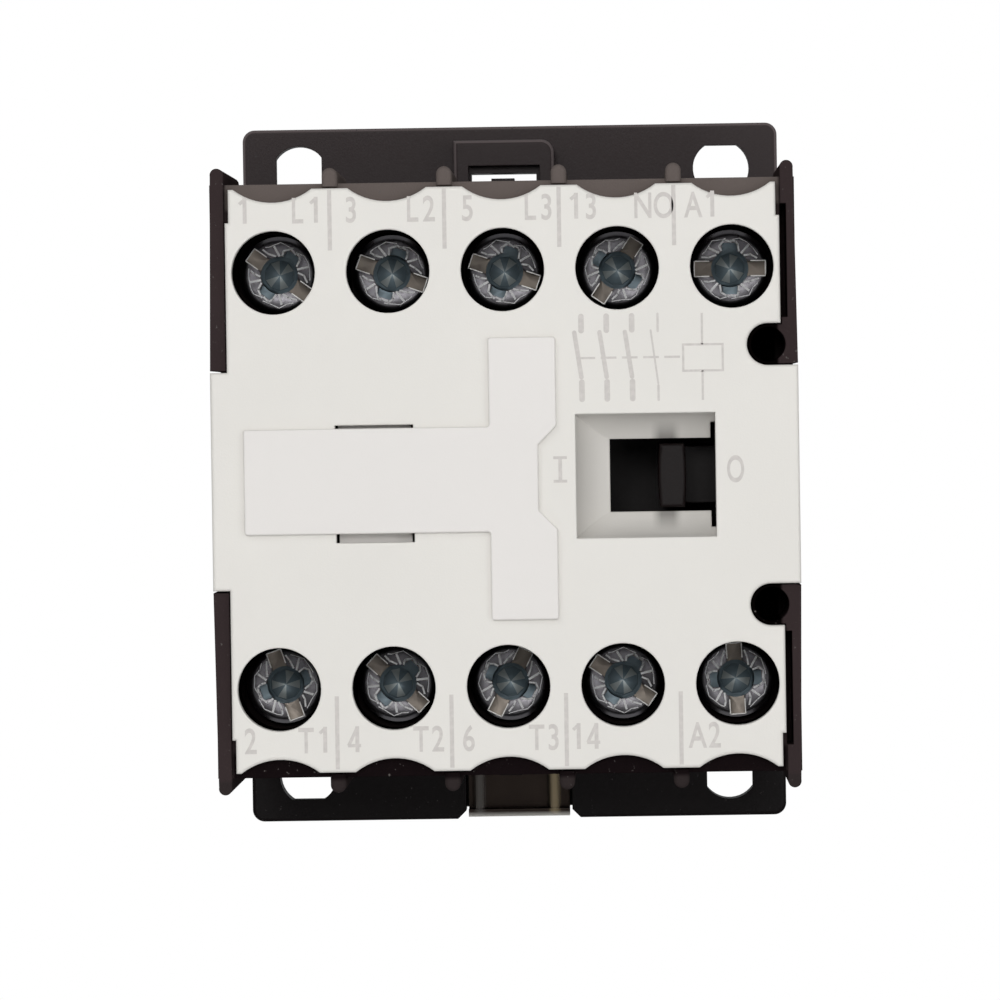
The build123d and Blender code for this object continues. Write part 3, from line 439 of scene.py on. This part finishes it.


# The tones of a screw's faces, partly the zinc's own colour and partly painted reflections, and the
# painted highlights of the fan facets and of the burrs and lips that stand on the faces.
ZINC_SCREW = plated_steel("zinc_screw", (0.16, 0.155, 0.165), 0.3)
ZINC_FACE = plated_steel("zinc_face", (0.085, 0.082, 0.088), 0.36, scratches=0.35, clouds=0.35)
ZINC_RECESS = plated_steel("zinc_recess", (0.115, 0.155, 0.178), 0.4, clouds=0.25, metal=0.4)
# Painted highlight for the bright fan in the recess floor.
ZINC_FAN_HIGHLIGHT = plated_steel("zinc_fan_highlight", (0.3, 0.335, 0.335), 0.38, clouds=0.2, metal=0.45)
ZINC_SLOT = plated_steel(
    "zinc_slot", (0.165, 0.14, 0.116), 0.4, scratches=0.3, clouds=0.35, metal=0.5
)
# Painted highlight: near white for the lips along the slot.
ZINC_EDGE_HIGHLIGHT = plated_steel("zinc_edge_highlight", (0.85, 0.83, 0.8), 0.45, scratches=0.3, clouds=0.2, metal=0.2)
# Painted highlight: plain white for the burrs.
ZINC_PAINTED_GLINT = plated_steel("zinc_painted_glint", (1.0, 1.0, 1.0), 0.5, scratches=0.3, clouds=0.0, metal=0.0)

FOOT_BLACK = foot_black()
PRINT_GREY = print_ink("print_grey", (0.585, 0.555, 0.53))

SLOT_MATERIALS = {
    "black_housing": front_housing_black(),
    "carrier_black": moulded_plastic(
        "carrier_black", (0.0055, 0.0032, 0.0032), 0.45, grain=0.25, clouds=0.1, specular=0.12, edge=0.15
    ),
    "grey_cover": cover_grey(),
    "label_white": moulded_plastic(
        "label_white", (0.735, 0.71, 0.685), 0.42, grain=0.12, clouds=0.008, specular=0.4, edge=0.1
    ),
    "bobbin_plastic": moulded_plastic("bobbin_plastic", (0.52, 0.46, 0.37), 0.5),
    "pad_rubber": moulded_plastic("pad_rubber", (0.02, 0.02, 0.02), 0.8),
    "lead_insulation": moulded_plastic("lead_red", (0.42, 0.03, 0.025), 0.45),
    "zinc_screw": ZINC_SCREW,
    "zinc_saddle": saddle_finish(),
    "latch_steel": latch_finish(),
    "spring_steel": plated_steel("spring_steel", (0.55, 0.55, 0.56), 0.25),
    "copper_alloy": plated_steel("copper_alloy", (0.83, 0.5, 0.32), 0.3, brush=(1, 1, 6)),
    "tinned_brass": plated_steel("tinned_brass", (0.72, 0.66, 0.5), 0.33, brush=(1, 1, 6)),
    "silver": plated_steel("silver", (0.86, 0.84, 0.8), 0.35),
    "core_steel": laminated_steel("core_steel"),
    "copper_wire": enamelled_winding("copper_wire"),
}


def finish_cad_nodes():
    """Give every CAD node the material of its slot; the foot has a black of its own."""
    for part in frame["record"]["subparts"]:
        node = frame["nodes"][part["node"]]
        material = SLOT_MATERIALS[part["material_slot"]]
        if part["node"] == "base_housing":
            material = FOOT_BLACK
        if not node.data.materials:
            node.data.materials.append(material)
        for slot in node.material_slots:
            slot.material = material


# ---- terminal screws -----------------------------------------------------------------

TERMINALS = ["1_L1", "3_L2", "5_L3", "13_NO", "A1", "2_T1", "4_T2", "6_T3", "14_NO", "A2"]
SLOT_ANGLES = [-36, -20, -19, 56, 0, 109, -43, 63, -34, 93]

HEAD_R = 3.02 * MM
HEAD_TOP = 2.2 * MM
HEAD_FLAT_R = 2.5 * MM
HEAD_CROWN = 0.55 * MM
HEAD_CHAMFER_R = 0.1 * MM
HEAD_CHAMFER_H = 0.12 * MM
CROWN_STEP = 15
SHANK_R = 1.75 * MM
SHANK_CORE_R = 1.45 * MM
SHANK_TIP_R = SHANK_CORE_R * 0.8
SHANK_LENGTH = 6.5 * MM
THREAD_PITCH = 0.6 * MM

# The recess: depths below the top of the head, and rings of radius and depth in its floor.
CUTTER_TOP = HEAD_TOP + 0.4 * MM
RECESS_R = 1.45 * MM
RECESS_DEPTH = 0.8 * MM
RECESS_SIDES = 10
FLOOR_RINGS = ((0.05 * MM, 1.3 * MM), (1.15 * MM, 1.0 * MM), (1.2 * MM, 0.85 * MM))
CROSS_LENGTH = 4.0 * MM
CROSS_WIDTH = 1.18 * MM
CROSS_DEPTH = 0.75 * MM
SLOT_LENGTH = 5.5 * MM
SLOT_WIDTH = 1.16 * MM
SLOT_DEPTH = 0.5 * MM
CUT_EDGE = 0.03 * MM

# Where a face of the finished screw lies, and the facets of the floor that get a painted highlight.
SAME_PLACE = 0.02 * MM
FLAT_ENOUGH = 0.9
RECESS_REACH = 1.4 * MM
FAN_R = 1.1 * MM
PAINTED_FAN_FACETS = (1, 4, 6, 9)

# Burrs, in millimetres and degrees: the (radius, angle) points of each, and its width.
BURRS = (
    (((1.5, 42), (1.9, 31), (2.3, 23)), 0.14),
    (((1.5, 53), (2.3, 48)), 0.17),
    (((1.52, 62), (1.95, 68), (2.2, 80), (2.14, 90)), 0.14),
    (((2.42, 26), (2.36, 38), (2.5, 58), (2.4, 74), (2.3, 84)), 0.07),
)
BURR_TURN = 3.5
BURR_SHIFT = 0.07
BURR_SUNK = 0.04 * MM
BURR_PROUD = 0.05 * MM
LIP_START = 1.62
LIP_WIDTH = 0.085
LIP_OUTSIDE = 0.01


def turned(profile, vertices=64):
    """A turned solid about Z: a disc extruded and resized through (radius, height) rings."""
    radius, height = profile[0]
    clear_selection()
    bpy.ops.mesh.primitive_circle_add(
        vertices=vertices, radius=radius, fill_type="NGON", location=(0, 0, height)
    )
    solid = settle(bpy.context.object)
    bpy.ops.object.mode_set(mode="EDIT")
    bpy.ops.mesh.select_all(action="SELECT")
    for next_radius, next_height in profile[1:]:
        bpy.ops.mesh.extrude_region_move(
            TRANSFORM_OT_translate={"value": (0, 0, next_height - height)}
        )
        share = next_radius / radius
        bpy.ops.transform.resize(value=(share, share, 1), center_override=(0, 0, next_height))
        radius, height = next_radius, next_height
    bpy.ops.object.mode_set(mode="OBJECT")
    return recalculate(solid)


def screw_blank():
    """Head and ridged shank about Z, the underside of the head at Z = 0."""
    profile = [(SHANK_TIP_R, -SHANK_LENGTH)]
    ridge = -SHANK_LENGTH + THREAD_PITCH
    while ridge < -THREAD_PITCH:
        profile.append((SHANK_CORE_R, ridge - THREAD_PITCH / 2))
        profile.append((SHANK_R, ridge))
        ridge += THREAD_PITCH
    profile.append((SHANK_CORE_R, ridge - THREAD_PITCH / 2))
    profile.append((SHANK_CORE_R, 0))
    profile.append((HEAD_R - HEAD_CHAMFER_R, 0))
    profile.append((HEAD_R, HEAD_CHAMFER_H))
    crown = HEAD_R - HEAD_FLAT_R
    shoulder = HEAD_TOP - HEAD_CROWN
    for turn in range(0, 91, CROWN_STEP):
        lean = math.radians(turn)
        radius = HEAD_FLAT_R + crown * math.cos(lean)
        profile.append((radius, shoulder + HEAD_CROWN * math.sin(lean)))
    return turned(profile)


def bar(length, width, low, high):
    """A bar along X, centred on the screw's axis, between two heights."""
    clear_selection()
    bpy.ops.mesh.primitive_cube_add(size=1, location=(0, 0, (low + high) / 2))
    piece = bpy.context.object
    piece.scale = (length, width, high - low)
    return settle(piece)


def combine(piece, other, operation):
    """Apply a boolean with another closed mesh, which is then removed."""
    modifier = piece.modifiers.new("combine", "BOOLEAN")
    modifier.operation = operation
    modifier.solver = "EXACT"
    modifier.object = other
    apply_modifiers(piece)
    bpy.data.objects.remove(other)
    return piece


def recess_cutter():
    """Round recess with two arms and a faceted floor that falls to a point."""
    wall = [(RECESS_R, HEAD_TOP - RECESS_DEPTH), (RECESS_R, CUTTER_TOP)]
    floor = [(radius, HEAD_TOP - depth) for radius, depth in FLOOR_RINGS]
    core = turned(floor + wall, RECESS_SIDES)
    rim = turned(wall, 32)
    arms = bar(CROSS_WIDTH, CROSS_LENGTH, HEAD_TOP - CROSS_DEPTH, CUTTER_TOP)
    return combine(combine(core, rim, "UNION"), arms, "UNION")


def strand(points, width):
    """A thin raised ridge on the screw's face through (radius, degrees) points."""
    places = []
    for radius, degrees in points:
        angle = math.radians(degrees)
        places.append(Vector((radius * math.cos(angle), radius * math.sin(angle), 0)) * MM)
    pieces = []
    for first, second in zip(places, places[1:]):
        run = second - first
        length = run.length + 0.4 * width * MM
        piece = bar(length, width * MM, HEAD_TOP - BURR_SUNK, HEAD_TOP + BURR_PROUD)
        piece.rotation_euler = Euler((0, 0, math.atan2(run.y, run.x)))
        piece.location = (first + second) / 2
        pieces.append(settle(piece))
    return pieces


def bent_point(radius, degrees, quarter, place, spread):
    """One burr point in its quarter; uneven sines keep the quarters from being alike."""
    degrees += BURR_TURN * math.sin(2.3 * quarter + 1.9 * place + spread)
    radius += BURR_SHIFT * math.sin(3.1 * quarter + 2.7 * place + spread)
    mirrored = quarter % 2 == 1
    return radius, 90 * (quarter + 1) - degrees if mirrored else 90 * quarter + degrees


def burr_ridges(spread):
    """Ragged ridges thrown up round the recess, a little different in each quarter, made to carry a
    painted highlight.
    """
    ridges = []
    for quarter in range(4):
        for points, width in BURRS:
            bent = [bent_point(*point, quarter, place, spread) for place, point in enumerate(points)]
            ridges += strand(bent, width)
    return join(ridges, "burr_ridges")


def slot_edges():
    """The raised lips along both ends of the slot, made to carry a painted highlight."""
    half = SLOT_WIDTH / MM / 2 + LIP_OUTSIDE
    end = SLOT_LENGTH / MM / 2 + LIP_OUTSIDE
    corners = [(LIP_START, half), (end, half), (end, -half), (LIP_START, -half)]
    lips = []
    for side in (0, 180):
        points = [(math.hypot(x, y), side + math.degrees(math.atan2(y, x))) for x, y in corners]
        lips += strand(points, LIP_WIDTH)
    return join(lips, "slot_edges")


def in_painted_fan_highlight(centre):
    """Whether a place in the recess lies in one of the facets of its floor that get a painted highlight.
    """
    turn = math.degrees(math.atan2(centre.y, centre.x)) % 360
    facet = int(turn / (360 / RECESS_SIDES))
    return math.hypot(centre.x, centre.y) < FAN_R and facet in PAINTED_FAN_FACETS


def tone_faces(screw):
    """Give the faces of the screw their tones and painted highlights by where they lie."""
    face_tones = [ZINC_SCREW, ZINC_FACE, ZINC_RECESS, ZINC_SLOT, ZINC_FAN_HIGHLIGHT]
    for material in face_tones:
        screw.data.materials.append(material)
    slot_floor = HEAD_TOP - SLOT_DEPTH
    for face in screw.data.polygons:
        centre, flat = face.center, face.normal.z > FLAT_ENOUGH
        reach = math.hypot(centre.x, centre.y)
        if centre.z > HEAD_TOP - SAME_PLACE and flat:
            face_tone = ZINC_FACE
        elif abs(centre.z - slot_floor) < SAME_PLACE and flat:
            face_tone = ZINC_SLOT
        elif centre.z > HEAD_TOP - RECESS_REACH and reach < CROSS_LENGTH / 2 + SAME_PLACE:
            face_tone = ZINC_FAN_HIGHLIGHT if in_painted_fan_highlight(centre) else ZINC_RECESS
        else:
            continue
        face.material_index = face_tones.index(face_tone)


def model_screw(spread):
    """The finished screw about the Z axis."""
    screw = screw_blank()
    slot = bar(SLOT_LENGTH, SLOT_WIDTH, HEAD_TOP - SLOT_DEPTH, CUTTER_TOP)
    for cutter in (slot, recess_cutter()):
        combine(screw, cutter, "DIFFERENCE")
    recalculate(screw)
    soften(screw, CUT_EDGE, 2, 32)
    tone_faces(screw)
    burrs, lips = burr_ridges(spread), slot_edges()
    # Painted highlights: the burrs in white, the lips near white.
    burrs.data.materials.append(ZINC_PAINTED_GLINT)
    lips.data.materials.append(ZINC_EDGE_HIGHLIGHT)
    return shade(join([screw, burrs, lips], "screw_model"), 25)


def place_screws():
    """One copy of a screw for each terminal, turned as it was left."""
    models = [model_screw(spread) for spread in (0.0, 0.9)]
    for index, (terminal, angle) in enumerate(zip(TERMINALS, SLOT_ANGLES)):
        node = f"terminal_screw_{terminal}"
        low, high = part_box(node)
        model = models[index % 2]
        screw = model.copy()
        screw.data = model.data.copy()
        screw.name = f"screw_{terminal}"
        bpy.context.scene.collection.objects.link(screw)
        turn = Matrix.Rotation(math.radians(angle), 4, "Z")
        seat = Vector(((low.x + high.x) / 2, low.y + HEAD_TOP, (low.z + high.z) / 2))
        screw.data.transform(Matrix.Translation(seat) @ FACE_FRONT @ turn)
        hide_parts(node)
        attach(screw, f"screw_{terminal}")
    for model in models:
        bpy.data.objects.remove(model)


# ---- printing on the cover -----------------------------------------------------------

PRINT_PROUD = 0.012 * MM

# Strokes that cross stand out by different shares of this, so that no two faces coincide.
SECOND, THIRD, FOURTH = 0.9, 0.8, 0.7

# Places and sizes of the print, in millimetres.
PITCH = 8.77
CAP_SHARE = 0.72
LETTER_H = 1.98
LETTER_SQUEEZE = 0.72
LETTER_WEIGHT = 0.04
LETTER_STROKE = 0.3
SLIM_STROKE = 0.85 * LETTER_STROKE
LETTER_STEP = 1.3
WIDE_STEP = 1.58
UPPER_BASE = 19.74
LOWER_BASE = -20.8
UPPER_MARKS = (
    ("1", -19.8), ("L1", -15.0), ("3", -11.5), ("L2", -6.2), ("5", -2.6),
    ("L3", 2.8), ("13", 6.2), ("NO", 11.6), ("A1", 15.3),
)
LOWER_MARKS = (
    ("2", -19.8), ("T1", -14.9), ("4", -11.85), ("T2", -6.1), ("6", -3.1),
    ("T3", 2.75), ("14", 5.8), ("A2", 15.06),
)
DIVIDER_WIDTH = 0.32
DIVIDER_SPANS = ((17.6, 22.2), (-16.5, -22.1))
SYMBOL_THIN = 0.17
SYMBOL_MAIN, SYMBOL_AUXILIARY = 0.43, 0.18
MAIN_CONTACT_X = (5.95, 7.88, 9.82)
AUXILIARY_CONTACT_X = 11.8
LINK_Z = 9.08
LINK_ENDS = (5.8, 13.7)
LINK_DASH, LINK_GAP = 1.2, 0.42
COIL_X = (13.72, 16.74)
COIL_Z = (8.0, 10.0)
COIL_LEAD_X = 15.18


def finish_print(pieces, name):
    """Join a print's strokes and letters, ink them and fasten them to the cover."""
    piece = join(pieces, name)
    piece.data.materials.clear()
    piece.data.materials.append(PRINT_GREY)
    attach(piece, "housing")


def flat_text(body, centre_x, base_z, height, squeeze, weight):
    """Upright condensed lettering on the cover's face, as a thin mesh."""
    clear_selection()
    bpy.ops.object.text_add()
    text = bpy.context.object
    text.data.body = body
    text.data.align_x = "CENTER"
    text.data.size = height * MM / CAP_SHARE
    text.data.offset = weight * MM
    text.data.extrude = PRINT_PROUD / 2
    only(text)
    bpy.ops.object.convert(target="MESH")
    lettering = bpy.context.object
    place = Matrix.Translation((centre_x * MM, COVER_FACE - PRINT_PROUD / 2, base_z * MM))
    lettering.data.transform(place @ FACE_FRONT @ Matrix.Diagonal((squeeze, 1, 1, 1)))
    return lettering


def round_ends(line, width):
    """Round the four edges of a stroke that run through its thickness."""
    modifier = line.modifiers.new("ends", "BEVEL")
    modifier.width = width * 0.48
    modifier.segments = 4
    modifier.affect = "EDGES"
    modifier.limit_method = "WEIGHT"
    weights = line.data.attributes.new("bevel_weight_edge", "FLOAT", "EDGE")
    for edge in line.data.edges:
        a, b = (line.data.vertices[index].co for index in edge.vertices)
        weights.data[edge.index].value = 1.0 if abs(a.y - b.y) > PRINT_PROUD / 2 else 0.0
    apply_modifiers(line)


def stroke(start, end, width, rounded=False, proud=1.0):
    """A straight printed line on the cover between two (x, z) points."""
    x0, z0, x1, z1 = (value * MM for value in (*start, *end))
    clear_selection()
    bpy.ops.mesh.primitive_cube_add(size=1)
    line = bpy.context.object
    line.scale = (math.hypot(x1 - x0, z1 - z0), PRINT_PROUD * proud, width * MM)
    settle(line)
    if rounded:
        round_ends(line, width * MM)
    line.rotation_euler = Euler((0, -math.atan2(z1 - z0, x1 - x0), 0))
    line.location = ((x0 + x1) / 2, COVER_FACE - PRINT_PROUD * proud / 2, (z0 + z1) / 2)
    return settle(line)


def numeral_one(centre_x, base_z):
    """The figure 1 with its short flag."""
    stem_x = centre_x + 0.16
    top = base_z + LETTER_H
    stem = stroke((stem_x, base_z), (stem_x, top), LETTER_STROKE)
    flag = stroke((stem_x, top - 0.13), (stem_x - 0.42, top - 0.5), SLIM_STROKE, proud=SECOND)
    return [stem, flag]


def numeral_four(centre_x, base_z):
    """The figure 4 with its slanted side."""
    stem_x = centre_x + 0.22
    bar_z = base_z + 0.5
    top = base_z + LETTER_H
    left, right = centre_x - 0.5, centre_x + 0.5
    stem = stroke((stem_x, base_z), (stem_x, top), LETTER_STROKE)
    foot = stroke((left, bar_z), (right, bar_z), SLIM_STROKE, proud=SECOND)
    slant = stroke((left + 0.05, bar_z), (stem_x, top - 0.1), SLIM_STROKE, proud=THIRD)
    return [stem, foot, slant]


def mark(body, centre_x, base_z):
    """One terminal mark, character by character."""
    pieces = []
    step = WIDE_STEP if body == "NO" else LETTER_STEP
    first = centre_x - step * (len(body) - 1) / 2
    for place, character in enumerate(body):
        x = first + place * step
        if character == "1":
            pieces += numeral_one(x, base_z)
        elif character == "4":
            pieces += numeral_four(x, base_z)
        else:
            pieces.append(flat_text(character, x, base_z, LETTER_H, LETTER_SQUEEZE, LETTER_WEIGHT))
    return pieces


def terminal_marks():
    """Terminal numbers and letters above and below the screws."""
    marks = []
    for row, base_z in ((UPPER_MARKS, UPPER_BASE), (LOWER_MARKS, LOWER_BASE)):
        for body, x in row:
            marks += mark(body, x, base_z)
    finish_print(marks, "terminal_marks")


def position_marks():
    """The two positions of the nub: I with its serifs, and O."""
    x, low, high = 4.2, -0.4, 1.6
    half_serif = 0.52
    states = [stroke((x, low), (x, high), 0.28)]
    for z in (low + 0.1, high - 0.1):
        states.append(stroke((x - half_serif, z), (x + half_serif, z), 0.22, proud=SECOND))
    states.append(flat_text("O", 17.6, -0.52, 2.05, 0.6, 0.045))
    finish_print(states, "position_marks")


def divider_strips():
    """Thin printed strips between the terminal columns."""
    strips = []
    for column in (-1.5, -0.5, 0.5, 1.5):
        x = column * PITCH
        for near, far in DIVIDER_SPANS:
            strips.append(stroke((x, near), (x, far), DIVIDER_WIDTH))
    finish_print(strips, "divider_strips")


def contact_symbol(x, hinge_z, width):
    """A contact: its upper lead, its open blade and its lower lead."""
    return [
        stroke((x, 12.47), (x, 10.97), width, rounded=True),
        stroke((x - 0.55, 11.2), (x, hinge_z), width * 0.8, rounded=True, proud=SECOND),
        stroke((x, hinge_z), (x, 5.72), width, rounded=True, proud=THIRD),
    ]


def link_line():
    """The dashed line that links the contacts to the coil."""
    dashes = []
    start, end = LINK_ENDS
    while start + LINK_DASH <= end:
        dashes.append(stroke((start, LINK_Z), (start + LINK_DASH, LINK_Z), SYMBOL_THIN, proud=FOURTH))
        start += LINK_DASH + LINK_GAP
    return dashes


def coil_symbol():
    """The coil: a box with a lead above and below."""
    left, right = COIL_X
    bottom, top = COIL_Z
    corner = SYMBOL_THIN / 2
    lines = [stroke((left - corner, z), (right + corner, z), SYMBOL_THIN) for z in COIL_Z]
    lines += [stroke((x, bottom), (x, top), SYMBOL_THIN, proud=SECOND) for x in COIL_X]
    lines.append(stroke((COIL_LEAD_X, 12.4), (COIL_LEAD_X, top), SYMBOL_THIN))
    lines.append(stroke((COIL_LEAD_X, bottom), (COIL_LEAD_X, 5.75), SYMBOL_THIN))
    return lines


def circuit_symbol():
    """The generic diagram of a contactor: four contacts, a link line and a coil."""
    lines = []
    for x in MAIN_CONTACT_X:
        lines += contact_symbol(x, 7.45, SYMBOL_MAIN)
    lines += contact_symbol(AUXILIARY_CONTACT_X, 7.0, SYMBOL_AUXILIARY)
    finish_print(lines + link_line() + coil_symbol(), "circuit_symbol")


# ---- studio --------------------------------------------------------------------------

CAMERA_PLACE = Vector((8.8, -627.0, 5.3)) * MM
CAMERA_AIM = Vector((-0.44, -52.0, -1.67)) * MM
CAMERA_ROLL = -0.015
CAMERA_LENS = 270.8

FLOOR_Z = -0.17
FLOOR_SIZE = 2.4
LIGHT_AIM = Vector((0, -0.03, 0))

# Name, place and side in metres, and power in watts.
LIGHTS = (
    ("key", (-0.7, -1.0, 0.9), 0.7, 4.2),
    ("fill", (0.9, -0.9, 0.1), 0.7, 2.5),
    ("front", (0.02, -1.1, 0.22), 0.3, 2.7),
    ("glint_upper", (-0.13, -1.0, 0.2), 0.1, 0.8),
    ("glint_side", (0.22, -1.0, -0.1), 0.1, 0.6),
)


def turned_towards(place, aim):
    """The turn of a camera or light that looks from a place to an aim."""
    return (aim - place).to_track_quat("-Z", "Y")


def add_camera():
    """A long lens almost square to the cover, turned a little about its own axis."""
    data = bpy.data.cameras.new("camera")
    data.lens = CAMERA_LENS
    data.sensor_width = 36
    data.clip_start = 0.05
    data.clip_end = 20
    camera = bpy.data.objects.new("camera", data)
    bpy.context.scene.collection.objects.link(camera)
    look = turned_towards(CAMERA_PLACE, CAMERA_AIM).to_matrix().to_4x4()
    roll = Matrix.Rotation(CAMERA_ROLL, 4, "Z")
    camera.matrix_world = Matrix.Translation(CAMERA_PLACE) @ look @ roll
    bpy.context.scene.camera = camera


def soft_light(name, place, side, power):
    """A square soft box aimed at the object."""
    data = bpy.data.lights.new(name, "AREA")
    data.size = side
    data.energy = power
    light = bpy.data.objects.new(name, data)
    bpy.context.scene.collection.objects.link(light)
    light.location = place
    light.rotation_euler = turned_towards(Vector(place), LIGHT_AIM).to_euler()


def pale_floor():
    """A pale floor well below the object."""
    bpy.ops.mesh.primitive_plane_add(size=FLOOR_SIZE, location=(0, 0, FLOOR_Z))
    floor = bpy.context.object
    floor.name = "floor"
    floor.data.materials.append(print_ink("pale_floor", (0.86, 0.86, 0.86)))


def surroundings():
    """White to the camera, and a weak, slightly cool light on the object."""
    world = bpy.data.worlds.new("studio")
    bpy.context.scene.world = world
    world.use_nodes = True
    nodes, links = world.node_tree.nodes, world.node_tree.links
    nodes.clear()
    output = nodes.new("ShaderNodeOutputWorld")
    mix = nodes.new("ShaderNodeMixShader")
    path = nodes.new("ShaderNodeLightPath")
    links.new(path.outputs["Is Camera Ray"], mix.inputs["Fac"])
    lit, seen = ((0.98, 0.99, 1, 1), 0.3), ((1, 1, 1, 1), 1.0)
    for socket, (colour, strength) in zip(mix.inputs[1:], (lit, seen)):
        background = nodes.new("ShaderNodeBackground")
        background.inputs["Color"].default_value = colour
        background.inputs["Strength"].default_value = strength
        links.new(background.outputs["Background"], socket)
    links.new(mix.outputs["Shader"], output.inputs["Surface"])


def studio():
    """Floor, surroundings and soft boxes, shown with plain colours."""
    pale_floor()
    surroundings()
    for light in LIGHTS:
        soft_light(*light)
    bpy.context.scene.view_settings.view_transform = "Standard"
    bpy.context.scene.view_settings.look = "None"


add_camera()
finish_cad_nodes()
place_screws()
terminal_marks()
position_marks()
divider_strips()
circuit_symbol()
studio()
